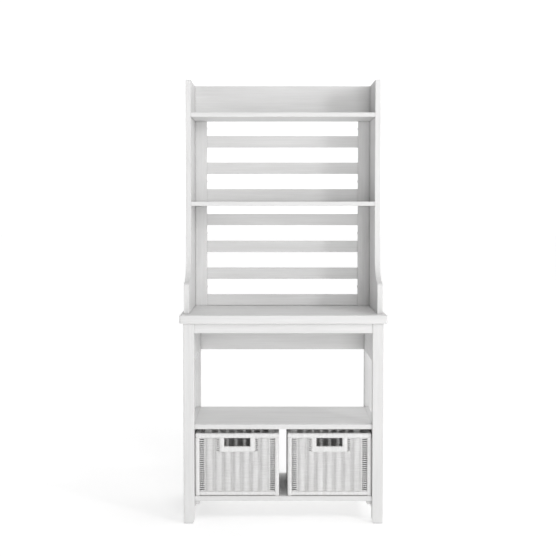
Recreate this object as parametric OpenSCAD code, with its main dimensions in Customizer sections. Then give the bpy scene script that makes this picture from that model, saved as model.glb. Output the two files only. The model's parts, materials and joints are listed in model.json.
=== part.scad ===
// Hutch bench: a leg table with two lower shelves and two pull-out baskets, carrying an open
// two-shelf hutch with a slatted back. Millimetres. X runs to the right, +Y to the back, +Z up.
// The origin is on the floor, under the middle of the worktop.

/* [Overall] */
// Height of the top of the hutch above the floor
total_h = 1613; // [1560:1:1680]
// Width over the outer faces of the legs
body_w = 720; // [690:1:800]
// Depth from the front face to the back face of the legs
body_d = 380; // [372:1:430]

/* [Worktop] */
// Height of the worktop's upper surface
worktop_h = 757; // [740:1:775]
// Thickness of the worktop
worktop_t = 31; // [26:1:36]
// How far the worktop stands out past the legs, at the front and at both ends
worktop_overhang = 13; // [6:1:25]

/* [Table frame] */
// Side of the square legs
leg_s = 39; // [36:1:40]
// Thickness of the aprons and side rails
apron_t = 18; // [16:1:20]
// Height of the shallow apron under the front of the worktop
front_apron_h = 35; // [32:1:45]
// Height of the deep aprons at the back and at both ends
deep_apron_h = 140; // [130:1:160]

/* [Lower shelves] */
// Height of the bench shelf's upper surface, above the baskets
bench_shelf_h = 360; // [355:1:400]
// Height of the bottom shelf's upper surface, under the baskets
bottom_shelf_h = 98; // [92:1:104]
// Thickness of both lower shelves
shelf_t = 18; // [16:1:20]
// Depth of both lower shelves, front to back
shelf_d = 345; // [336:1:350]
// How far the shelves stand back from the front face of the legs
shelf_setback = 8; // [2:1:12]
// Width of the cleats that carry the bottom shelf
cleat_w = 18; // [16:1:24]
// Height of those cleats
cleat_h = 15; // [12:1:18]

/* [Hutch] */
// Thickness of the hutch's side panels
panel_t = 19; // [18:1:22]
// Setback of the panels' upper front edge from the front face of the legs
upper_setback = 147; // [140:1:170]
// Setback of the panels' lower front edge from the front face of the legs
lower_setback = 39; // [30:1:44]
// Height above the worktop at which the panels begin to step back
step_h = 112; // [90:1:125]
// Thickness of the two hutch shelves
hutch_shelf_t = 16; // [15:1:19]
// Height of the top shelf's underside
top_shelf_h = 1477; // [1465:1:1490]
// Height of the middle shelf's underside
middle_shelf_h = 1148; // [1142:1:1152]

/* [Slatted back] */
// Width of the upright stiles
stile_w = 46; // [40:1:52]
// Height of each slat
slat_h = 44; // [36:1:50]
// Thickness of each slat
slat_t = 15; // [13:1:16]
// Slat spacing above the middle shelf
upper_pitch = 103; // [96:1:104]
// Slat spacing below the middle shelf
lower_pitch = 105; // [100:1:106]

/* [Baskets] */
// Width of each basket
basket_w = 304; // [260:1:306]
// Depth of each basket
basket_d = 330; // [280:1:334]
// Height of each basket
basket_h = 228; // [180:1:234]
// Distance of each basket's middle from the middle of the unit
basket_x = 167; // [166:1:168]
// Thickness of the cane rods in the basket's frame
rod = 16; // [14:1:18]
// Width of the hand hole
hand_hole_w = 93; // [80:1:110]
// Height of the hand hole
hand_hole_h = 30; // [24:1:40]

/* [Hidden] */
$fn = 48;

// Eased edges, joint clearances and setbacks that are too small to drive the design
edge_r = 2.5;
fit = 0.1;
glide_gap = 0.3;
foot_cut_w = 5;
foot_cut_h = 12;
apron_setback = 3;
back_apron_setback = 10;
hutch_shelf_setback = 1;
slat_setback = 3;
slat_lift = 0.3;
top_slat_gap = 57;
lip_r = 12;
board_r = 1.5;
worktop_r = 4;
worktop_corner_r = 6;

// Fasteners
dowel_r = 4;
dowel_len = 36;
slim_dowel_r = 3;
slim_dowel_len = 28;
short_dowel_len = 24;
bolt_r = 3;
bolt_len = 66;
bolt_head_r = 6;
bolt_head_t = 3;
bolt_past_barrel = 10;
barrel_r = 5;
barrel_len = 15;
screw_r = 2.4;
screw_head_r = 4.5;
screw_head_t = 3;
bench_screw_len = 45;
cleat_screw_len = 26;
shelf_screw_len = 24;
base_screw_len = 62;
hutch_screw_len = 46;
stile_screw_grip = 12;
stile_head_r = 6;
stile_head_h = 2.4;
cap_r = 6.5;
cap_t = 1.2;
bracket_w = 24;
bracket_leg = 30;
bracket_t = 2;
bracket_hole = 20;
bracket_screw_r = 2;
bracket_head_r = 4;
bracket_head_t = 2;
bracket_screw_len = 15;

// Planes of the table
leg_x = body_w / 2;
leg_in = leg_x - leg_s;
back_y = (body_d + worktop_overhang) / 2;
front_y = back_y - body_d;
leg_h = worktop_h - worktop_t;
rail_x = leg_in + apron_t / 2;
rail_y0 = front_y + leg_s;
rail_y1 = back_y - leg_s;
shelf_y0 = front_y + shelf_setback;
shelf_y1 = shelf_y0 + shelf_d;
back_apron_y1 = back_y - back_apron_setback;
back_apron_y = back_apron_y1 - apron_t / 2;
front_apron_y = front_y + apron_setback + apron_t / 2;
cleat_y0 = shelf_y0 + 12;
cleat_y1 = shelf_y1 - 8;
bench_rail_h = 60;
lower_rail_h = 50;
cleat_z = bottom_shelf_h - shelf_t - cleat_h;
bench_screw_z = bench_shelf_h - shelf_t / 2;

// Planes of the hutch
panel_in = leg_x - panel_t;
panel_y0 = front_y + upper_setback;
panel_low_y0 = front_y + lower_setback;
stile_t = panel_t;
stile_y0 = back_y - stile_t;
stile_in = panel_in - stile_w;
stile_top = top_shelf_h;
stile_y = stile_y0 + stile_t / 2;
slat_y0 = stile_y0 + slat_setback;
hutch_shelf_y0 = panel_y0 + hutch_shelf_setback;
step_z = worktop_h + step_h;
upper_slat_top = top_shelf_h - top_slat_gap;
lower_slat_top = worktop_h + slat_lift + slat_h + 3 * lower_pitch;
slat_z = [for (i = [0:2]) upper_slat_top - i * upper_pitch - slat_h,
          for (i = [0:3]) lower_slat_top - i * lower_pitch - slat_h];
middle_shelf_top = middle_shelf_h + hutch_shelf_t;

// Heights of the joints
apron_dowel_z = [leg_h - 15, leg_h - deep_apron_h + 15];
back_bolt_z = [leg_h - 38, leg_h - deep_apron_h + 38];
back_dowel_z = [leg_h - deep_apron_h / 2];
front_bolt_z = [leg_h - 11];
front_dowel_z = [leg_h - front_apron_h + 8];
bench_dowel_z = [bench_shelf_h - 44, bench_shelf_h - 30];
lower_dowel_z = [bottom_shelf_h - 36, bottom_shelf_h - 14];
side_dowel_z = concat(apron_dowel_z, bench_dowel_z, lower_dowel_z);
bench_screw_y = [shelf_y0 + 70, shelf_y1 - 70];
cleat_screw_y = [cleat_y0 + 60, cleat_y1 - 60];
shelf_screw_y = [cleat_y0 + 95, cleat_y1 - 95];
bracket_y = [rail_y0 + 60, rail_y1 - 60];
panel_screw_y = [back_y - 250, back_y - 90];
panel_dowel_y = [back_y - 300, back_y - 40];
hutch_screw_y = [hutch_shelf_y0 + 40, stile_y0 - 30];
hutch_screw_z = [top_shelf_h + hutch_shelf_t / 2, middle_shelf_h + hutch_shelf_t / 2];
top_rail_dowel_z = [top_shelf_h + 35, total_h - 30];
stile_screw_z = [(top_shelf_h + slat_z[0] + slat_h) / 2, (slat_z[1] + slat_z[2] + slat_h) / 2,
                 (slat_z[3] + slat_z[4] + slat_h) / 2, (slat_z[5] + slat_z[6] + slat_h) / 2];
stile_screw_len = stile_w + stile_screw_grip;
slat_dowel_dz = [slat_h / 2 - 12, slat_h / 2 + 12];

// Planes of a basket
basket_z = bottom_shelf_h + glide_gap;
basket_y0 = shelf_y0 + 3;
rim_h = 18;
wall_t = 6;
floor_z = 4;
wall_in = 4;
grip_w = 19;
grip_h = 21;
grip_t = 12;
grip_y = 1.5;
cane_r = 5;
base_inset = 1;

// ---- Building blocks ----

// A box given by its two corners
module block(low, high) {
    translate(low) cube(high - low);
}

// Rectangle w by h from the origin, with corners of radius r
module soft_rect(w, h, r) {
    translate([r, 0]) square([w - 2 * r, h]);
    translate([0, r]) square([w, h - 2 * r]);
    for (x = [r, w - r], y = [r, h - r]) translate([x, y]) circle(r = r);
}

// A box with its four edges along X, Y or Z eased to radius r
module bar_x(low, high, r = edge_r) {
    size = high - low;
    translate(low) rotate([90, 0, 90]) linear_extrude(size.x) soft_rect(size.y, size.z, r);
}

module bar_y(low, high, r = edge_r) {
    size = high - low;
    translate([low.x, high.y, low.z]) rotate([90, 0, 0]) linear_extrude(size.y)
        soft_rect(size.x, size.z, r);
}

module bar_z(low, high, r = edge_r) {
    size = high - low;
    translate(low) linear_extrude(size.z) soft_rect(size.x, size.y, r);
}

// Round rods centred on at, along X, Y or Z
module rod_x(at, len, r) {
    translate(at) rotate([0, 90, 0]) cylinder(h = len, r = r, center = true);
}

module rod_y(at, len, r) {
    translate(at) rotate([90, 0, 0]) cylinder(h = len, r = r, center = true);
}

module rod_z(at, len, r) {
    translate(at) cylinder(h = len, r = r, center = true);
}

// A flat-headed fastener that points along +X from the underside of its head
module fastener_x(head_r, head_t, shank_r, len) {
    rotate([0, 90, 0]) {
        translate([0, 0, -head_t]) cylinder(h = head_t, r = head_r);
        cylinder(h = len, r = shank_r);
    }
}

module wood_screw(len, grow = 0) {
    fastener_x(screw_head_r + grow, screw_head_t, screw_r + grow, len + grow);
}

module bracket_screw(grow = 0) {
    fastener_x(bracket_head_r, bracket_head_t, bracket_screw_r + grow, bracket_screw_len + grow);
}

// side is -1 for the left half and 1 for the right half
module on_side(side) {
    mirror([side < 0 ? 1 : 0, 0, 0]) children();
}

module both_sides() {
    for (side = [-1, 1]) on_side(side) children();
}

// ---- Where the fasteners go, right half; grow widens them into clearance holes ----

module leg_dowel_set(grow = 0) {
    for (z = side_dowel_z, y = [rail_y0, rail_y1])
        rod_y([rail_x, y, z], dowel_len + 2 * grow, dowel_r + grow);
    for (z = back_dowel_z)
        rod_x([leg_in, back_apron_y, z], dowel_len + 2 * grow, dowel_r + grow);
    for (z = front_dowel_z)
        rod_x([leg_in, front_apron_y, z], slim_dowel_len + 2 * grow, slim_dowel_r + grow);
}

module bolt_set(grow = 0) {
    at = concat([for (z = back_bolt_z) [leg_x - bolt_head_t, back_apron_y, z]],
                [for (z = front_bolt_z) [leg_x - bolt_head_t, front_apron_y, z]]);
    for (p = at) translate(p) mirror([1, 0, 0])
        fastener_x(bolt_head_r + grow, bolt_head_t + (grow > 0 ? 1 : 0), bolt_r + grow,
                   bolt_len + grow);
}

// Cross dowels that the bolts screw into, flush with the rear face of the apron
module barrel_set(grow = 0) {
    x = leg_x - bolt_head_t - bolt_len + bolt_past_barrel;
    dy = (apron_t - barrel_len) / 2;
    for (z = back_bolt_z)
        rod_y([x, back_apron_y + dy, z], barrel_len + 2 * grow, barrel_r + grow);
    for (z = front_bolt_z)
        rod_y([x, front_apron_y + dy, z], barrel_len + 2 * grow, barrel_r + grow);
}

module barrel_nuts() {
    color("silver") both_sides() difference() {
        barrel_set();
        bolt_set(fit);
    }
}

module bench_screw_set(grow = 0) {
    for (y = bench_screw_y) translate([leg_in + apron_t - screw_head_t, y, bench_screw_z])
        mirror([1, 0, 0]) wood_screw(bench_screw_len, grow);
}

module bench_cap_set() {
    for (y = bench_screw_y) translate([leg_in + apron_t, y, bench_screw_z])
        rotate([0, 90, 0]) cylinder(h = cap_t, r = cap_r);
}

// Screws through the cleats, sideways into the lower rails and upwards into the bottom shelf
module cleat_screw_set(grow = 0) {
    for (y = cleat_screw_y) translate([leg_in - cleat_w + screw_head_t, y, cleat_z + cleat_h / 2])
        wood_screw(cleat_screw_len, grow);
    for (y = shelf_screw_y) translate([leg_in - cleat_w / 2, y, cleat_z + screw_head_t])
        rotate([0, -90, 0]) wood_screw(shelf_screw_len, grow);
}

// Screws through the brackets, sideways into the aprons and upwards into the worktop
module bracket_screw_set(grow = 0) {
    for (y = bracket_y) {
        translate([leg_in - bracket_t, y, leg_h - bracket_hole]) bracket_screw(grow);
        translate([leg_in - bracket_hole, y, leg_h - bracket_t]) rotate([0, -90, 0]) bracket_screw(grow);
    }
}

module base_screw_set(grow = 0) {
    for (y = panel_screw_y) translate([leg_x - panel_t / 2, y, leg_h + screw_head_t])
        rotate([0, -90, 0]) wood_screw(base_screw_len, grow);
}

module hutch_dowel_set(grow = 0) {
    for (y = panel_dowel_y)
        rod_z([leg_x - panel_t / 2, y, worktop_h], dowel_len + 2 * grow, dowel_r + grow);
    for (z = top_rail_dowel_z)
        rod_x([panel_in, stile_y, z], short_dowel_len + 2 * grow, slim_dowel_r + grow);
    rod_z([panel_in - stile_w / 2, stile_y, stile_top], dowel_len + 2 * grow, dowel_r + grow);
}

module hutch_screw_set(grow = 0) {
    for (y = hutch_screw_y, z = hutch_screw_z) translate([leg_x - screw_head_t, y, z])
        mirror([1, 0, 0]) wood_screw(hutch_screw_len, grow);
}

module hutch_cap_set() {
    for (y = hutch_screw_y, z = hutch_screw_z) translate([leg_x, y, z])
        rotate([0, 90, 0]) cylinder(h = cap_t, r = cap_r);
}

// Screws that hold a stile to its side panel, with domed heads on the stile's inner edge
module stile_screw(grow = 0) {
    dome_r = (stile_head_r * stile_head_r + stile_head_h * stile_head_h) / (2 * stile_head_h);
    rotate([0, 90, 0]) {
        cylinder(h = stile_screw_len + grow, r = screw_r + grow);
        if (grow == 0) intersection() {
            translate([0, 0, dome_r - stile_head_h]) sphere(r = dome_r);
            translate([0, 0, -stile_head_h]) cylinder(h = stile_head_h, r = stile_head_r);
        }
    }
}

module stile_screw_set(grow = 0) {
    for (z = stile_screw_z) translate([stile_in, stile_y, z]) stile_screw(grow);
}

module slat_dowel_set(grow = 0) {
    for (z = slat_z, dz = slat_dowel_dz)
        rod_x([stile_in, slat_y0 + slat_t / 2, z + dz], slim_dowel_len + 2 * grow,
              slim_dowel_r + grow);
}

// ---- Table ----

// Square leg at the front (end = -1) or the back (end = 1), its foot cut back on the inner side
module leg(side, end) {
    y0 = end < 0 ? front_y : rail_y1;
    color("gainsboro") on_side(side) difference() {
        bar_z([leg_in, y0, 0], [leg_x, y0 + leg_s, leg_h]);
        translate([leg_in, 0, 0]) rotate([90, 0, 0])
            linear_extrude(3 * body_d, center = true)
                polygon([[-1, -1], [foot_cut_w, -1], [foot_cut_w, 0], [0, foot_cut_h], [-1, foot_cut_h]]);
        leg_dowel_set(fit);
        bolt_set(fit);
    }
}

module front_apron() {
    color("gainsboro") difference() {
        bar_x([-leg_in, front_y + apron_setback, leg_h - front_apron_h],
              [leg_in, front_y + apron_setback + apron_t, leg_h], board_r);
        for (side = [-1, 1]) on_side(side) {
            leg_dowel_set(fit);
            bolt_set(fit);
            barrel_set(fit);
        }
    }
}

module back_apron() {
    color("gainsboro") difference() {
        bar_x([-leg_in, back_apron_y1 - apron_t, leg_h - deep_apron_h],
              [leg_in, back_apron_y1, leg_h], board_r);
        for (side = [-1, 1]) on_side(side) {
            leg_dowel_set(fit);
            bolt_set(fit);
            barrel_set(fit);
        }
    }
}

// A rail between the front and back leg of one end, flush with the legs' inner faces
module side_rail(side, z0, z1) {
    color("gainsboro") on_side(side) difference() {
        bar_y([leg_in, rail_y0, z0], [leg_in + apron_t, rail_y1, z1], board_r);
        leg_dowel_set(fit);
        bench_screw_set(fit);
        cleat_screw_set(fit);
        bracket_screw_set(fit);
    }
}

module shelf_cleat(side) {
    color("gainsboro") on_side(side) difference() {
        bar_y([leg_in - cleat_w, cleat_y0, cleat_z], [leg_in, cleat_y1, cleat_z + cleat_h]);
        cleat_screw_set(fit);
    }
}

module lower_shelf(top) {
    color("gainsboro") difference() {
        bar_x([-leg_in, shelf_y0, top - shelf_t], [leg_in, shelf_y1, top], board_r);
        for (side = [-1, 1]) on_side(side) {
            bench_screw_set(fit);
            cleat_screw_set(fit);
        }
    }
}

// The worktop's long edges, its ends and its corners are all eased
module worktop() {
    half = leg_x + worktop_overhang;
    low = [-half, front_y - worktop_overhang, leg_h];
    high = [half, back_y, worktop_h];
    color("gainsboro") difference() {
        intersection() {
            bar_x(low, high, worktop_r);
            bar_y(low, high, worktop_r);
            bar_z(low, high, worktop_corner_r);
        }
        for (side = [-1, 1]) on_side(side) {
            base_screw_set(fit);
            hutch_dowel_set(fit);
            bracket_screw_set(fit);
        }
    }
}

// Angle bracket with a drilled leg on the side apron and another under the worktop
module worktop_brackets() {
    color("silver") for (side = [-1, 1]) on_side(side) difference() {
        for (y = bracket_y) translate([0, y - bracket_w / 2, 0]) {
            block([leg_in - bracket_t, 0, leg_h - bracket_leg], [leg_in, bracket_w, leg_h]);
            block([leg_in - bracket_leg, 0, leg_h - bracket_t], [leg_in - bracket_t, bracket_w, leg_h]);
        }
        bracket_screw_set(fit);
    }
}

// ---- Hutch ----

// Outline of a side panel in Y and Z: deep at the worktop, then a cove back to the upper part
module panel_outline() {
    cove_r = upper_setback - lower_setback - lip_r;
    difference() {
        union() {
            translate([panel_y0, worktop_h]) square([back_y - panel_y0, total_h - worktop_h]);
            translate([panel_low_y0, worktop_h])
                square([upper_setback - lower_setback, step_h - lip_r]);
            translate([panel_low_y0 + lip_r, worktop_h]) square([cove_r, step_h + cove_r]);
            translate([panel_low_y0 + lip_r, step_z - lip_r]) circle(r = lip_r);
        }
        translate([panel_low_y0 + lip_r, step_z + cove_r]) circle(r = cove_r, $fn = 96);
    }
}

module side_panel(side) {
    color("gainsboro") on_side(side) difference() {
        translate([panel_in, 0, 0]) rotate([90, 0, 90]) linear_extrude(panel_t) panel_outline();
        base_screw_set(fit);
        hutch_dowel_set(fit);
        hutch_screw_set(fit);
        stile_screw_set(fit);
    }
}

module stile(side) {
    color("gainsboro") on_side(side) difference() {
        bar_z([stile_in, stile_y0, worktop_h], [panel_in, back_y, stile_top], board_r);
        stile_screw_set(fit);
        slat_dowel_set(fit);
        hutch_dowel_set(fit);
    }
}

module top_rail() {
    color("gainsboro") difference() {
        bar_x([-panel_in, stile_y0, stile_top], [panel_in, back_y, total_h], board_r);
        for (side = [-1, 1]) on_side(side) hutch_dowel_set(fit);
    }
}

// Slats are numbered from the top. The third is wider, and reaches down to the middle shelf
module slat(i) {
    top = slat_z[i - 1] + slat_h;
    z = (i == 3) ? middle_shelf_top + slat_lift : slat_z[i - 1];
    color("gainsboro") difference() {
        bar_x([-stile_in, slat_y0, z], [stile_in, slat_y0 + slat_t, top], board_r);
        for (side = [-1, 1]) on_side(side) slat_dowel_set(fit);
    }
}

module hutch_shelf(z) {
    color("gainsboro") difference() {
        bar_x([-panel_in, hutch_shelf_y0, z], [panel_in, stile_y0, z + hutch_shelf_t], board_r);
        for (side = [-1, 1]) on_side(side) hutch_screw_set(fit);
    }
}

// ---- Baskets, each in its own frame: middle of its front face at the bottom ----

module on_basket(side) {
    translate([side * basket_x, basket_y0, basket_z]) children();
}

module basket_rim(side) {
    hw = basket_w / 2;
    color("white") on_basket(side) {
        for (y = [0, basket_d - rod])
            bar_x([-hw, y, basket_h - rim_h], [hw, y + rod, basket_h], cane_r);
        for (x = [-hw, hw - rod])
            bar_y([x, rod, basket_h - rim_h], [x + rod, basket_d - rod, basket_h], cane_r);
    }
}

module basket_posts(side) {
    hw = basket_w / 2;
    color("white") on_basket(side) for (x = [-hw, hw - rod], y = [0, basket_d - rod])
        bar_z([x, y, 0], [x + rod, y + rod, basket_h - rim_h], cane_r);
}

module basket_base_frame(side) {
    hw = basket_w / 2;
    base_w = rod - 2 * base_inset;
    color("white") on_basket(side) {
        for (y = [base_inset, basket_d - base_inset - base_w])
            bar_x([rod - hw, y, 0], [hw - rod, y + base_w, rod], cane_r);
        for (x = [base_inset - hw, hw - base_inset - base_w])
            bar_y([x, rod, 0], [x + base_w, basket_d - rod, rod], cane_r);
    }
}

// The front wall stops at the grip, and the grip frames the hand hole
module basket_front_weave(side) {
    hw = basket_w / 2;
    gap_w = hand_hole_w + 2 * grip_w;
    gap_h = hand_hole_h + grip_h;
    color("white") on_basket(side) difference() {
        block([rod - hw, wall_in, rod], [hw - rod, wall_in + wall_t, basket_h - rim_h]);
        translate([-gap_w / 2, 0, basket_h - rim_h - gap_h]) cube([gap_w, rod, gap_h + 1]);
    }
}

// The two ends and the back are one node of three flat walls
module basket_rear_weave(side) {
    hw = basket_w / 2;
    top = basket_h - rim_h;
    color("white") on_basket(side) {
        block([rod - hw, basket_d - wall_in - wall_t, rod], [hw - rod, basket_d - wall_in, top]);
        for (x = [wall_in - hw, hw - wall_in - wall_t])
            block([x, rod, rod], [x + wall_t, basket_d - rod, top]);
    }
}

module basket_floor_weave(side) {
    hw = basket_w / 2;
    color("white") on_basket(side)
        block([rod - hw, rod, floor_z], [hw - rod, basket_d - rod, floor_z + wall_t]);
}

module basket_grip(side) {
    hole = hand_hole_w / 2;
    top = basket_h - rim_h;
    color("white") on_basket(side) {
        for (x = [-hole - grip_w, hole])
            bar_z([x, grip_y, top - hand_hole_h], [x + grip_w, grip_y + grip_t, top], cane_r);
        bar_x([-hole - grip_w, grip_y, top - hand_hole_h - grip_h],
              [hole + grip_w, grip_y + grip_t, top - hand_hole_h], cane_r);
    }
}

// ---- Nodes ----

leg(-1, -1);  // front_left_leg
leg(1, -1);  // front_right_leg
leg(-1, 1);  // back_left_leg
leg(1, 1);  // back_right_leg
front_apron();
back_apron();
side_rail(-1, leg_h - deep_apron_h, leg_h);  // left_side_apron
side_rail(1, leg_h - deep_apron_h, leg_h);  // right_side_apron
side_rail(-1, bench_shelf_h - bench_rail_h, bench_shelf_h);  // left_bench_rail
side_rail(1, bench_shelf_h - bench_rail_h, bench_shelf_h);  // right_bench_rail
side_rail(-1, bottom_shelf_h - lower_rail_h, bottom_shelf_h);  // left_lower_rail
side_rail(1, bottom_shelf_h - lower_rail_h, bottom_shelf_h);  // right_lower_rail
shelf_cleat(-1);  // left_shelf_cleat
shelf_cleat(1);  // right_shelf_cleat
lower_shelf(bench_shelf_h);  // bench_shelf
lower_shelf(bottom_shelf_h);  // bottom_shelf
worktop();
side_panel(-1);  // left_side_panel
side_panel(1);  // right_side_panel
stile(-1);  // left_stile
stile(1);  // right_stile
top_rail();
for (i = [1:7]) slat(i);
hutch_shelf(top_shelf_h);  // hutch_top_shelf
hutch_shelf(middle_shelf_h);  // hutch_middle_shelf
color("burlywood") both_sides() leg_dowel_set();  // leg_dowels
color("silver") both_sides() bolt_set();  // apron_bolts
barrel_nuts();
color("silver") both_sides() bench_screw_set();  // bench_shelf_screws
color("whitesmoke") both_sides() bench_cap_set();  // bench_screw_caps
color("silver") both_sides() cleat_screw_set();  // cleat_screws
worktop_brackets();
color("silver") both_sides() bracket_screw_set();  // bracket_screws
color("silver") both_sides() base_screw_set();  // hutch_base_screws
color("burlywood") both_sides() hutch_dowel_set();  // hutch_dowels
color("silver") both_sides() hutch_screw_set();  // hutch_shelf_screws
color("whitesmoke") both_sides() hutch_cap_set();  // hutch_screw_caps
color("silver") both_sides() stile_screw_set();  // stile_screws
color("burlywood") both_sides() slat_dowel_set();  // slat_dowels
basket_rim(-1);  // left_basket_rim
basket_posts(-1);  // left_basket_posts
basket_base_frame(-1);  // left_basket_base_frame
basket_front_weave(-1);  // left_basket_front_weave
basket_rear_weave(-1);  // left_basket_rear_weave
basket_floor_weave(-1);  // left_basket_floor_weave
basket_grip(-1);  // left_basket_grip
basket_rim(1);  // right_basket_rim
basket_posts(1);  // right_basket_posts
basket_base_frame(1);  // right_basket_base_frame
basket_front_weave(1);  // right_basket_front_weave
basket_rear_weave(1);  // right_basket_rear_weave
basket_floor_weave(1);  // right_basket_floor_weave
basket_grip(1);  // right_basket_grip
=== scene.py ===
import json
import math

import bpy
import numpy as np
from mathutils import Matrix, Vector


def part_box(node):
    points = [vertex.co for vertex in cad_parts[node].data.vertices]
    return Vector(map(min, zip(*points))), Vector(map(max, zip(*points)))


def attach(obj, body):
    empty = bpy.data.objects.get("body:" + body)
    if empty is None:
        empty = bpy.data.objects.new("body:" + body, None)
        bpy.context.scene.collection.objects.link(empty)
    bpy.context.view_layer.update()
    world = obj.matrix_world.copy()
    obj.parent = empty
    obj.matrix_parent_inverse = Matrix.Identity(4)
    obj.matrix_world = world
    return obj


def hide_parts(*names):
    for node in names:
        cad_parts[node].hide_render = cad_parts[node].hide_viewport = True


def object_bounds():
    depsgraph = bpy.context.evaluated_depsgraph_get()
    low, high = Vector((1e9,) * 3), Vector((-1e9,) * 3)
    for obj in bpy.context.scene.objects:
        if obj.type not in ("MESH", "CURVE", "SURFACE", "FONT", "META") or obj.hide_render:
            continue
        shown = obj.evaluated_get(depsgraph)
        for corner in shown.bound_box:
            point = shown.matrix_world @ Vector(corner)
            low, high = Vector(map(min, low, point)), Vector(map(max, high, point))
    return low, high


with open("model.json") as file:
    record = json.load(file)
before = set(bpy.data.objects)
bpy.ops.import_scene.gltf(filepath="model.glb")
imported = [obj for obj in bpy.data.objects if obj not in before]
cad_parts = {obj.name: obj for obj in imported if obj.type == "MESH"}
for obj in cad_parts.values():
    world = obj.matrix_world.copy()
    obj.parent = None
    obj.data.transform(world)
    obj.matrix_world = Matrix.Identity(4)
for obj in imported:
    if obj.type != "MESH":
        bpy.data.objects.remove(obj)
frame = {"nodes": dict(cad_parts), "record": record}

# The looks of a white hutch bench with two woven baskets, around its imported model. Metres, Z up.
cad_low, cad_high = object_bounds()
nodes = frame["nodes"]
MM = 0.001


# ---- Mesh helpers ----

def ring_faces(rings, sides):
    """Quads between successive rings of a tube."""
    i = np.arange(rings - 1)[:, None] * sides
    j = np.arange(sides)[None, :]
    k = (j + 1) % sides
    return np.stack([i + j, i + k, i + sides + k, i + sides + j], -1).reshape(-1, 4)


class Strands:
    """Collects tubes into one mesh."""

    def __init__(self):
        self.points, self.faces, self.count = [], [], 0

    def tube(self, path, across, up, width, depth, sides, power=1.0):
        """Sweeps a rounded section along path. width goes along across, depth along up.

        width and depth are numbers or one value per point of the path, and power under 1 squares
        the section.
        """
        n = len(path)
        angle = np.arange(sides) * (2 * np.pi / sides)
        angle = angle[None, :] + np.zeros(n)[:, None]
        c, s = np.cos(angle), np.sin(angle)
        c = np.sign(c) * np.abs(c) ** power
        s = np.sign(s) * np.abs(s) ** power
        w = np.broadcast_to(np.asarray(width, float).reshape(-1, 1), (n, 1)) / 2
        d = np.broadcast_to(np.asarray(depth, float).reshape(-1, 1), (n, 1)) / 2
        ring = path[:, None, :] + (w * c)[..., None] * across + (d * s)[..., None] * up
        ends = np.stack([path[0], path[-1]])
        faces = ring_faces(n, sides) + self.count
        last = self.count + n * sides
        j = np.arange(sides)
        k = (j + 1) % sides
        near_cap = np.stack([k + self.count, j + self.count, j * 0 + last], 1)
        far_cap = np.stack([j + last - sides, k + last - sides, j * 0 + last + 1], 1)
        self.points.append(np.concatenate([ring.reshape(-1, 3), ends]))
        self.faces.append((faces, near_cap, far_cap))
        self.count += n * sides + 2

    def piece(self, name, material, body, slot):
        """Makes the collected tubes one object that rides on a body."""
        mesh_faces = []
        for quads, near_cap, far_cap in self.faces:
            mesh_faces += quads.tolist() + near_cap.tolist() + far_cap.tolist()
        mesh = bpy.data.meshes.new(name)
        mesh.from_pydata(np.concatenate(self.points).tolist(), [], mesh_faces)
        mesh.materials.append(material)
        mesh.shade_smooth()
        piece = bpy.data.objects.new(name, mesh)
        bpy.context.scene.collection.objects.link(piece)
        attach(piece, body)
        return piece


# ---- Materials ----

class Tree:
    """A short way to write a material's nodes."""

    def __init__(self, name):
        self.material = bpy.data.materials.new(name)
        self.material.use_nodes = True
        self.nodes = self.material.node_tree.nodes
        self.links = self.material.node_tree.links
        self.shader = self.nodes["Principled BSDF"]

    def add(self, kind, inputs=None, **settings):
        node = self.nodes.new(kind)
        for key, value in settings.items():
            setattr(node, key, value)
        for key, value in (inputs or {}).items():
            self.put(node.inputs[key], value)
        return node

    def put(self, socket, value):
        if isinstance(value, bpy.types.NodeSocket):
            self.links.new(value, socket)
        else:
            socket.default_value = value

    def math(self, operation, a, b):
        return self.add("ShaderNodeMath", {0: a, 1: b}, operation=operation).outputs[0]

    def blend(self, factor, a, b):
        node = self.add("ShaderNodeMix", data_type="RGBA")
        self.put(node.inputs["Factor"], factor)
        self.put(node.inputs["A"], a)
        self.put(node.inputs["B"], b)
        return node.outputs["Result"]

    def remap(self, value, low, high, to_low, to_high):
        inputs = {"Value": value, "From Min": low, "From Max": high, "To Min": to_low, "To Max": to_high}
        return self.add("ShaderNodeMapRange", inputs).outputs["Result"]

    def noise(self, vector, scale, detail=3.0, roughness=0.5, distortion=0.0):
        inputs = {"Vector": vector, "Scale": scale, "Detail": detail, "Roughness": roughness,
                  "Distortion": distortion}
        return self.add("ShaderNodeTexNoise", inputs).outputs["Fac"]

    def stretched(self, vector, scale):
        return self.add("ShaderNodeMapping", {"Vector": vector, "Scale": scale}).outputs["Vector"]


def grey(value, warm=0.0):
    """A near-neutral colour of that linear brightness."""
    return (value * (1 + warm), value, value * (1 - warm), 1.0)


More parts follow.
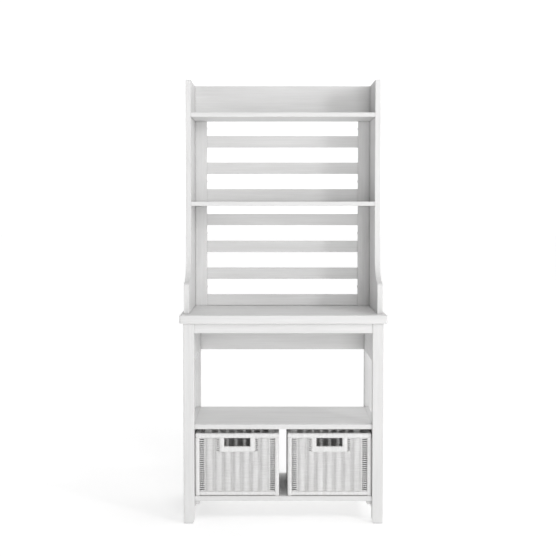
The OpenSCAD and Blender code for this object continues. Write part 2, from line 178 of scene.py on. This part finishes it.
def painted_wood(name, along):
    """White paint brushed over wood whose grain runs along axis 0, 1 or 2."""
    t = Tree(name)
    place = t.add("ShaderNodeTexCoord").outputs["Object"]
    chance = t.add("ShaderNodeObjectInfo").outputs["Random"]
    shift = t.add("ShaderNodeCombineXYZ", {"X": t.math("MULTIPLY", chance, 7.3),
                                          "Y": t.math("MULTIPLY", chance, 3.1),
                                          "Z": t.math("MULTIPLY", chance, 5.7)}).outputs[0]
    place = t.add("ShaderNodeVectorMath", {0: place, 1: shift}, operation="ADD").outputs[0]

    def grained(across_scale, along_scale):
        scale = [across_scale] * 3
        scale[along] = along_scale
        return t.stretched(place, tuple(scale))

    figure = t.noise(grained(34, 2.2), 1.0, 4.0, 0.55, 0.6)
    streak = t.noise(grained(150, 5.0), 1.0, 3.0, 0.6)
    fibre = t.noise(grained(900, 16.0), 1.0, 2.0, 0.6)
    cloud = t.noise(place, 3.5, 2.0, 0.5)

    tone = t.math("ADD", t.math("MULTIPLY", figure, 0.5), t.math("MULTIPLY", streak, 0.35))
    tone = t.math("ADD", tone, t.math("MULTIPLY", cloud, 0.15))
    level = t.remap(tone, 0.32, 0.68, 0.0, 1.0)
    colour = t.blend(level, grey(0.665, 0.004), grey(0.765, 0.002))
    pores = t.remap(fibre, 0.30, 0.44, 1.0, 0.0)
    colour = t.blend(t.math("MULTIPLY", pores, 0.16), colour, grey(0.50, 0.01))

    # Thinner paint along the edges, where the board shows through a little
    soft = t.add("ShaderNodeBevel", {"Radius": 1.6 * MM}, samples=4).outputs["Normal"]
    true = t.add("ShaderNodeNewGeometry").outputs["True Normal"]
    turned = t.add("ShaderNodeVectorMath", {0: soft, 1: true}, operation="DOT_PRODUCT").outputs["Value"]
    edge = t.remap(turned, 0.985, 0.86, 0.0, 1.0)
    worn = t.math("MULTIPLY", edge, t.remap(t.noise(place, 55.0, 4.0, 0.65), 0.44, 0.66, 0.06, 0.5))
    colour = t.blend(worn, colour, grey(0.56, 0.02))

    # Painted shade: the paint darkens in the joints and inner corners, within 8 mm, by ambient occlusion
    painted_shade_ao = t.add("ShaderNodeAmbientOcclusion", {"Distance": 8 * MM}, samples=4).outputs["AO"]
    colour = t.blend(t.remap(painted_shade_ao, 0.45, 0.92, 0.32, 0.0), colour, grey(0.22, 0.02))

    height = t.math("ADD", t.math("MULTIPLY", streak, 0.55), t.math("MULTIPLY", fibre, 0.45))
    bump = t.add("ShaderNodeBump", {"Strength": 0.35, "Distance": 0.5 * MM, "Height": height,
                                    "Normal": soft})
    t.put(t.shader.inputs["Base Color"], colour)
    t.put(t.shader.inputs["Roughness"], t.remap(streak, 0.3, 0.7, 0.62, 0.48))
    t.put(t.shader.inputs["Specular IOR Level"], 0.35)
    t.put(t.shader.inputs["Normal"], bump.outputs["Normal"])
    return t.material


def reed(name, scale, dark, light):
    """Whitewashed reed. scale stretches its fibres along the strands."""
    t = Tree(name)
    place = t.add("ShaderNodeTexCoord").outputs["Object"]
    fibre = t.noise(t.stretched(place, scale), 1.0, 3.0, 0.6)
    patch = t.noise(t.stretched(place, (70, 70, 9)), 1.0, 3.0, 0.55)
    wash = t.remap(t.math("ADD", t.math("MULTIPLY", fibre, 0.5), t.math("MULTIPLY", patch, 0.5)),
                   0.34, 0.66, 0.0, 1.0)
    colour = t.blend(wash, grey(dark, 0.006), grey(light, 0.002))
    # Painted shade: the reed darkens in the crevices between strands, within 10 mm, by ambient occlusion
    painted_shade_ao = t.add("ShaderNodeAmbientOcclusion", {"Distance": 10 * MM}, samples=4).outputs["AO"]
    colour = t.blend(t.remap(painted_shade_ao, 0.25, 0.85, 0.62, 0.0), colour, grey(0.50, 0.02))
    bump = t.add("ShaderNodeBump", {"Strength": 0.4, "Distance": 0.3 * MM, "Height": fibre})
    t.put(t.shader.inputs["Base Color"], colour)
    t.put(t.shader.inputs["Roughness"], t.remap(fibre, 0.3, 0.7, 0.70, 0.55))
    t.put(t.shader.inputs["Specular IOR Level"], 0.3)
    t.put(t.shader.inputs["Normal"], bump.outputs["Normal"])
    return t.material


def worn_metal(name, level, metallic, roughness):
    """Plated or enamelled metal with fine scratches and a little dulling."""
    t = Tree(name)
    place = t.add("ShaderNodeTexCoord").outputs["Object"]
    fine = t.noise(place, 900.0, 3.0, 0.6)
    patch = t.noise(place, 120.0, 3.0, 0.6)
    t.put(t.shader.inputs["Base Color"], t.blend(patch, grey(level * 0.9), grey(level * 1.06)))
    t.put(t.shader.inputs["Metallic"], metallic)
    t.put(t.shader.inputs["Roughness"], t.remap(patch, 0.3, 0.7, roughness - 0.07, roughness + 0.08))
    bump = t.add("ShaderNodeBump", {"Strength": 0.15, "Distance": 0.1 * MM, "Height": fine})
    t.put(t.shader.inputs["Normal"], bump.outputs["Normal"])
    return t.material


def bare_dowel(name):
    """Bare beech."""
    t = Tree(name)
    place = t.add("ShaderNodeTexCoord").outputs["Object"]
    ring = t.noise(t.stretched(place, (60, 60, 700)), 1.0, 3.0, 0.6)
    t.put(t.shader.inputs["Base Color"], t.blend(ring, (0.50, 0.33, 0.17, 1), (0.66, 0.48, 0.28, 1)))
    t.put(t.shader.inputs["Roughness"], t.remap(ring, 0.3, 0.7, 0.75, 0.6))
    bump = t.add("ShaderNodeBump", {"Strength": 0.3, "Distance": 0.2 * MM, "Height": ring})
    t.put(t.shader.inputs["Normal"], bump.outputs["Normal"])
    return t.material


def moulded_cap(name):
    """Satin white plastic with a fine moulded texture."""
    t = Tree(name)
    place = t.add("ShaderNodeTexCoord").outputs["Object"]
    fine = t.noise(place, 1500.0, 2.0, 0.5)
    t.put(t.shader.inputs["Base Color"], t.blend(t.noise(place, 90.0), grey(0.70), grey(0.76)))
    t.put(t.shader.inputs["Roughness"], t.remap(fine, 0.3, 0.7, 0.42, 0.52))
    bump = t.add("ShaderNodeBump", {"Strength": 0.2, "Distance": 0.05 * MM, "Height": fine})
    t.put(t.shader.inputs["Normal"], bump.outputs["Normal"])
    return t.material


wood_x = painted_wood("painted_wood_x", 0)
wood_y = painted_wood("painted_wood_y", 1)
wood_z = painted_wood("painted_wood_z", 2)
zinc = worn_metal("zinc_steel", 0.60, 1.0, 0.38)
enamel = worn_metal("enamelled_steel", 0.68, 0.0, 0.35)
dowel = bare_dowel("bare_dowel")
cap_plastic = moulded_cap("screw_cap")
weave_x = reed("weave_along_x", (22, 22, 500), 0.70, 0.85)
weave_y = reed("weave_along_y", (22, 22, 500), 0.70, 0.85)
stake_reed = reed("stake_reed", (420, 420, 18), 0.68, 0.82)
wrap_reed = reed("wrapped_cane", (160, 160, 160), 0.70, 0.83)

GRAIN_Z = ("leg", "side_panel", "stile")
GRAIN_Y = ("side_apron", "bench_rail", "lower_rail", "shelf_cleat")
SLOT_MATERIAL = {"zinc_steel": zinc, "enamelled_steel": enamel, "dowel_wood": dowel,
                 "screw_cap": cap_plastic}


def finish_cad_nodes():
    """Gives every CAD node its material: by its slot, and painted boards by the way their grain runs."""
    slots = {part["node"]: part["material_slot"] for part in frame["record"]["subparts"]}
    for name, node in nodes.items():
        slot = slots[name]
        if slot in SLOT_MATERIAL:
            material = SLOT_MATERIAL[slot]
        elif name.endswith(GRAIN_Z):
            material = wood_z
        elif name.endswith(GRAIN_Y):
            material = wood_y
        else:
            material = wood_x
        node.data.materials.clear()
        node.data.materials.append(material)


finish_cad_nodes()


# ---- Baskets ----

X, Y, Z = Vector((1, 0, 0)), Vector((0, 1, 0)), Vector((0, 0, 1))
ROW_PITCH = 3.75 * MM       # height of one row of weaving
WEAVER = 2.7 * MM           # thickness of a weaver
WEAVE_REACH = 3.0 * MM      # how far a weaver swings to either side of the wall's middle
TWIST = 0.24                # rise and fall of the two weavers where they cross, in rows
BULGE = 1.06                # height of a weaver in front of a stake, in rows
CLOSE = 0.58                # its height where the two cross, in rows, in a dense wall
LOOSE = 0.40                # the same in a wall that lets light through
STAKE = 3.6 * MM            # thickness of a stake
STAKE_STEP = 33 * MM        # between stakes, about
END_STRIP = 20.5 * MM       # from a post to where the twisting of the rows ends
LADDER = 17 * MM            # width of the ladder that the turned-back rows leave beside a post
FLOOR_PITCH = 4.6 * MM      # between the weavers of a floor
WRAP_PITCH = 5.5 * MM       # width of the cane strip that wraps the frame
HAND_HOLE = 46.5 * MM       # half the width of the hand hole, between the grip's bars
GRIP_BAR = 21 * MM          # height of the bar under the hand hole
TUCK = 2 * MM               # how far the end of one wrapped bar goes into the next
BESIDE_GRIP = 8.5 * MM      # where the turned-back rows end beside the grip
ROW_POINTS = 10             # points along a weaver between two stakes


def stake_places(length):
    """Where the stakes stand along a wall: one in its middle, the others in even steps."""
    reach = length / 2 - END_STRIP
    count = round(reach / STAKE_STEP - 0.5)
    return np.arange(-count, count + 1) * reach / (count + 0.5)


def weave_phase(s, stakes):
    """Phase of the weaving: a multiple of pi at each stake, then level beyond the last crossing."""
    last = (len(stakes) // 2 + 0.5) * np.pi
    return np.clip(s / (stakes[1] - stakes[0]) * np.pi, -last, last)


def weave_row(strands, origin, along, out, start, stop, stakes, crossing, rng):
    """Two weavers twisted round each other along a wall, so that one lies in front of every stake."""
    step = stakes[1] - stakes[0]
    points = max(4, int(round((stop - start) / (step / ROW_POINTS))) + 1)
    s = np.linspace(start, stop, points)
    phase = weave_phase(s, stakes)
    reach = WEAVE_REACH * (1 + rng.normal(0, 0.05))
    sway = rng.normal(0, 0.08 * MM) + 0.12 * MM * np.sin(s * rng.uniform(18, 34) + rng.uniform(0, 6.28))
    level = np.abs(np.cos(phase))
    full = np.clip((level - 0.30) / 0.5, 0, 1)
    full = full * full * (3 - 2 * full)
    tall = ROW_PITCH * (crossing + (BULGE - crossing) * full)
    for side in (1, -1):
        swing = np.sign(np.cos(phase)) * level ** 0.8 * side * reach
        lift = np.sin(phase) * side * ROW_PITCH * TWIST
        path = (np.array(origin)[None, :] + s[:, None] * np.array(along)
                + swing[:, None] * np.array(out) + (sway + lift)[:, None] * np.array(Z))
        strands.tube(path, np.array(out), np.array(Z), WEAVER * (1 + rng.normal(0, 0.03)), tall, 6, 0.85)


def stake(strands, origin, along, up, low, high, rng):
    """One upright rod."""
    s = np.linspace(low, high, 9)
    wander = 0.25 * MM * np.sin(s * 40 + rng.uniform(0, 6.28))
    path = np.array(origin)[None, :] + s[:, None] * np.array(up) + wander[:, None] * np.array(along)
    strands.tube(path, np.array(along), np.cross(np.array(along), np.array(up)), STAKE, STAKE, 8)


def woven_wall(name, body, origin, along, out, length, low, high, material, seed, opening=None):
    """A wall of fine weavers on stakes.

    opening is (half width, lowest height, turn-back half width) of the grip that interrupts it. In
    that wall every second row turns back before the posts too, which leaves a ladder beside them.
    Returns the woven rows. The stakes are a piece of their own.
    """
    crossing = CLOSE if opening else LOOSE
    rng = np.random.RandomState(seed)
    stakes = stake_places(length)
    rows, posts = Strands(), Strands()
    count = int((high - low) / ROW_PITCH)
    for i in range(count):
        z = low + (i + 0.5) * (high - low) / count
        here = Vector(origin) + Z * z
        full = i % 2 == 0
        half = length / 2 + 0.5 * MM if full or not opening else length / 2 - LADDER
        spans = [(-half, half)]
        if opening and z > opening[1]:
            edge = opening[0] - 0.5 * MM if full else opening[2]
            spans = [(-half, -edge), (edge, half)]
        for start, stop in spans:
            weave_row(rows, here, along, out, start, stop, stakes, crossing, rng)
    for place in stakes:
        top = high
        if opening and abs(place) < opening[0]:
            top = opening[1]
        stake(posts, Vector(origin) + Vector(along) * place, along, Z, low, top, rng)
    made = rows.piece(name, material, body, "wicker")
    posts.piece(name + "_stakes", stake_reed, body, "wicker")
    return made


def woven_floor(name, body, centre, width, depth, seed):
    """The floor: weavers along X over stakes along Y. Returns the weavers."""
    rng = np.random.RandomState(seed)
    stakes = stake_places(width)
    rows, posts = Strands(), Strands()
    count = int(depth / FLOOR_PITCH)
    step = stakes[1] - stakes[0]
    s = np.linspace(-width / 2, width / 2, int(width / (step / 8)) + 1)
    for i in range(count):
        y = (i + 0.5) * depth / count - depth / 2
        side = 1 if i % 2 == 0 else -1
        here = Vector(centre) + Y * y
        swing = np.cos(np.pi * (s - stakes[0]) / step) * side * (STAKE + WEAVER) / 2 * 0.9
        sway = 0.25 * MM * np.sin(s * rng.uniform(18, 34) + rng.uniform(0, 6.28))
        path = np.array(here)[None, :] + s[:, None] * np.array(X) + swing[:, None] * np.array(Z)
        path = path + sway[:, None] * np.array(Y)
        rows.tube(path, np.array(Y), np.array(Z), WEAVER * 1.25, WEAVER * 0.9, 6)
    for place in stakes:
        stake(posts, Vector(centre) + X * place, X, Y, -depth / 2, depth / 2, rng)
    made = rows.piece(name, weave_x, body, "wicker")
    posts.piece(name + "_stakes", stake_reed, body, "wicker")
    return made


def wrapped_rod(strands, start, end, across, width, depth, rng, round_ends=True):
    """A cane bar with a flat strip wound round it, from start to end."""
    start, end = np.array(start, float), np.array(end, float)
    length = np.linalg.norm(end - start)
    ahead = (end - start) / length
    across = np.array(across, float)
    up = np.cross(ahead, across)
    turns = max(2, int(round(length / WRAP_PITCH)))
    n = turns * 5 + 1
    s = np.linspace(0, 1, n)
    phase = s * turns * 2 * np.pi
    ridge = 1 - 0.055 * np.abs(np.cos(phase / 2)) ** 6 + rng.normal(0, 0.006, n)
    squeeze = np.ones(n)
    if round_ends:
        from_end = np.minimum(s, 1 - s) * length
        squeeze = np.clip(np.sqrt(np.clip(from_end / (3 * MM), 0, 1)), 0.55, 1)
    path = start[None, :] + s[:, None] * (end - start)[None, :]
    strands.tube(path, across, up, width * ridge * squeeze, depth * ridge * squeeze, 14, 0.62)


def bar_of(strands, low, high, axis, rng, round_ends=True):
    """A wrapped rod that fills a box, along axis 0, 1 or 2."""
    low, high = np.array(low, float), np.array(high, float)
    middle = (low + high) / 2
    start, end = middle.copy(), middle.copy()
    start[axis], end[axis] = low[axis], high[axis]
    others = [i for i in range(3) if i != axis]
    across = np.zeros(3)
    across[others[0]] = 1
    size = high - low
    wrapped_rod(strands, start, end, across, size[others[0]], size[others[1]], rng, round_ends)


def make_basket(side, seed):
    """Builds one basket inside the boxes of its CAD nodes."""
    body = side + "_basket"
    rng = np.random.RandomState(seed)
    rim_low, rim_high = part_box(body + "_rim")
    post_low, post_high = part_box(body + "_posts")
    base_low, base_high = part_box(body + "_base_frame")
    grip_low, grip_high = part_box(body + "_grip")
    front_low, front_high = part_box(body + "_front_weave")
    rear_low, rear_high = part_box(body + "_rear_weave")
    floor_low, floor_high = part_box(body + "_floor_weave")
    rod = front_low.x - post_low.x
    middle = (rim_low + rim_high) / 2

    rim = Strands()
    for y in (rim_low.y, rim_high.y - rod):
        bar_of(rim, (rim_low.x, y, rim_low.z), (rim_high.x, y + rod, rim_high.z), 0, rng)
    for x in (rim_low.x, rim_high.x - rod):
        bar_of(rim, (x, rim_low.y + rod * 0.6, rim_low.z),
               (x + rod, rim_high.y - rod * 0.6, rim_high.z), 1, rng, False)
    piece = rim.piece(body + "_wrapped_rim", wrap_reed, body, "cane")
    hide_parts(body + "_rim")

    posts = Strands()
    for x in (post_low.x, post_high.x - rod):
        for y in (post_low.y, post_high.y - rod):
            bar_of(posts, (x, y, post_low.z), (x + rod, y + rod, post_high.z + TUCK), 2, rng, False)
    piece = posts.piece(body + "_wrapped_posts", wrap_reed, body, "cane")
    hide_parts(body + "_posts")

    base = Strands()
    thin = rod - 2 * MM
    inset = rod * 0.7
    for y in (base_low.y, base_high.y - thin):
        bar_of(base, (base_low.x + inset, y, base_low.z), (base_high.x - inset, y + thin, base_high.z),
               0, rng, False)
    for x in (base_low.x, base_high.x - thin):
        bar_of(base, (x, base_low.y + inset, base_low.z), (x + thin, base_high.y - inset, base_high.z),
               1, rng, False)
    piece = base.piece(body + "_wrapped_base", wrap_reed, body, "cane")
    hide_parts(body + "_base_frame")

    bottom_bar = grip_low.z + GRIP_BAR
    side_bar = middle.x - HAND_HOLE - grip_low.x
    grip = Strands()
    for x in (grip_low.x, middle.x + HAND_HOLE):
        bar_of(grip, (x, grip_low.y, bottom_bar - 3 * MM),
               (x + side_bar, grip_high.y, grip_high.z + TUCK), 2, rng, False)
    bar_of(grip, (grip_low.x, grip_low.y, grip_low.z), (grip_high.x, grip_high.y, bottom_bar), 0, rng)
    piece = grip.piece(body + "_wrapped_grip", wrap_reed, body, "cane")
    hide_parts(body + "_grip")

    low, high = front_low.z, front_high.z
    wall_y = (front_low.y + front_high.y) / 2
    outer = grip_high.x - middle.x
    opening = (outer, grip_low.z + TUCK, outer + BESIDE_GRIP)
    width = front_high.x - front_low.x
    front = woven_wall(body + "_woven_front", body, (middle.x, wall_y, 0), X, -Y, width, low, high,
                       weave_x, seed + 1, opening)
    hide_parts(body + "_front_weave")

    half_wall = wall_y - front_low.y
    back_y = rear_high.y - half_wall
    depth = post_high.y - post_low.y - 2 * rod
    left_x = rear_low.x + half_wall
    right_x = rear_high.x - half_wall
    back = woven_wall(body + "_woven_back", body, (middle.x, back_y, 0), X, Y, width, low, high,
                      weave_x, seed + 2)
    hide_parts(body + "_rear_weave")
    woven_wall(body + "_woven_left_end", body, (left_x, middle.y, 0), Y, -X, depth, low, high, weave_y,
               seed + 3)
    woven_wall(body + "_woven_right_end", body, (right_x, middle.y, 0), Y, X, depth, low, high, weave_y,
               seed + 4)
    floor = woven_floor(body + "_woven_floor", body,
                        (middle.x, middle.y, (floor_low.z + floor_high.z) / 2),
                        floor_high.x - floor_low.x, floor_high.y - floor_low.y, seed + 5)
    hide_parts(body + "_floor_weave")


make_basket("left", 11)
make_basket("right", 29)


# ---- Floor, lights and camera ----

def make_floor():
    """A wide pale floor, a little brighter with distance so that it fades into the white behind it."""
    mesh = bpy.data.meshes.new("floor")
    half = 40.0
    corners = [(-half, -half, 0), (half, -half, 0), (half, half, 0), (-half, half, 0)]
    mesh.from_pydata(corners, [], [(0, 1, 2, 3)])
    t = Tree("pale_floor")
    t.put(t.shader.inputs["Base Color"], (0.86, 0.86, 0.86, 1))
    t.put(t.shader.inputs["Roughness"], 0.9)
    t.put(t.shader.inputs["Specular IOR Level"], 0.0)
    t.put(t.shader.inputs["Emission Color"], (1, 1, 1, 1))
    place = t.add("ShaderNodeTexCoord").outputs["Object"]
    away = t.add("ShaderNodeVectorMath", {0: place}, operation="LENGTH").outputs["Value"]
    t.put(t.shader.inputs["Emission Strength"], t.remap(away, 0.8, 3.2, 0.34, 0.43))
    mesh.materials.append(t.material)
    floor = bpy.data.objects.new("floor", mesh)
    bpy.context.scene.collection.objects.link(floor)


# Strength of the room's light from each side
ROOM_RIGHT_BACK_TOP = (1.05, 1.25, 0.74)
ROOM_LEFT_FRONT_LOW = (0.10, 0.02, 0.35)
SEEN_WHITE = 1.1            # strength of the background that the camera sees


def make_world():
    """A white room, brightest on the right and behind, and pure white where the camera sees it."""
    world = bpy.data.worlds.new("studio")
    bpy.context.scene.world = world
    world.use_nodes = True
    t = world.node_tree
    background = t.nodes["Background"]
    background.inputs["Color"].default_value = (1, 1, 1, 1)
    direction = t.nodes.new("ShaderNodeTexCoord").outputs["Generated"]

    def vector(operation, a, b):
        node = t.nodes.new("ShaderNodeVectorMath")
        node.operation = operation
        for socket, value in zip(node.inputs, (a, b)):
            if isinstance(value, bpy.types.NodeSocket):
                t.links.new(value, socket)
            else:
                socket.default_value = value
        return node.outputs["Value" if operation == "DOT_PRODUCT" else "Vector"]

    # Light from (right, back, top) and from (left, front, below)
    total = t.nodes.new("ShaderNodeMath")
    for i, (sign, strength) in enumerate(((1, ROOM_RIGHT_BACK_TOP), (-1, ROOM_LEFT_FRONT_LOW))):
        part = vector("MAXIMUM", vector("MULTIPLY", direction, (sign, sign, sign)), (0, 0, 0))
        part = vector("DOT_PRODUCT", vector("MULTIPLY", part, part), strength)
        t.links.new(part, total.inputs[i])
    path = t.nodes.new("ShaderNodeLightPath")
    seen = t.nodes.new("ShaderNodeMix")
    t.links.new(path.outputs["Is Camera Ray"], seen.inputs["Factor"])
    t.links.new(total.outputs[0], seen.inputs["A"])
    seen.inputs["B"].default_value = SEEN_WHITE
    t.links.new(seen.outputs["Result"], background.inputs["Strength"])


def area_light(name, place, aim, size, power):
    """A square soft box of that size and power, turned from place towards aim."""
    light = bpy.data.lights.new(name, "AREA")
    light.shape = "RECTANGLE"
    light.size = light.size_y = size
    light.energy = power
    lamp = bpy.data.objects.new(name, light)
    lamp.location = place
    lamp.rotation_mode = "QUATERNION"
    lamp.rotation_quaternion = (Vector(aim) - Vector(place)).to_track_quat("-Z", "Y")
    bpy.context.scene.collection.objects.link(lamp)


CAMERA_PLACE = (-0.0395, -3.9965, 1.1459)
CAMERA_DIP = 2.568          # degrees below level
LENS = 69.1                 # on a sensor 36 mm wide
SHIFT = (0.01013, -0.0426)


def make_camera():
    """A long lens in front of the unit, a little left of its middle and above the worktop."""
    data = bpy.data.cameras.new("camera")
    data.sensor_width = 36
    data.lens = LENS
    data.shift_x, data.shift_y = SHIFT
    camera = bpy.data.objects.new("camera", data)
    camera.location = CAMERA_PLACE
    camera.rotation_euler = (math.radians(90 - CAMERA_DIP), 0, 0)
    bpy.context.scene.collection.objects.link(camera)
    bpy.context.scene.camera = camera


make_floor()
make_world()
centre = (cad_low + cad_high) / 2
area_light("key", place=(2.18, -2.31, 1.98), aim=(0, 0, 0.9), size=0.45, power=20)
area_light("front", place=(1.56, -8.90, 1.80), aim=centre, size=2.8, power=168)
area_light("high", place=(0, -3.83, 4.01), aim=centre, size=2.0, power=32)
make_camera()
bpy.context.scene.view_settings.view_transform = "Standard"
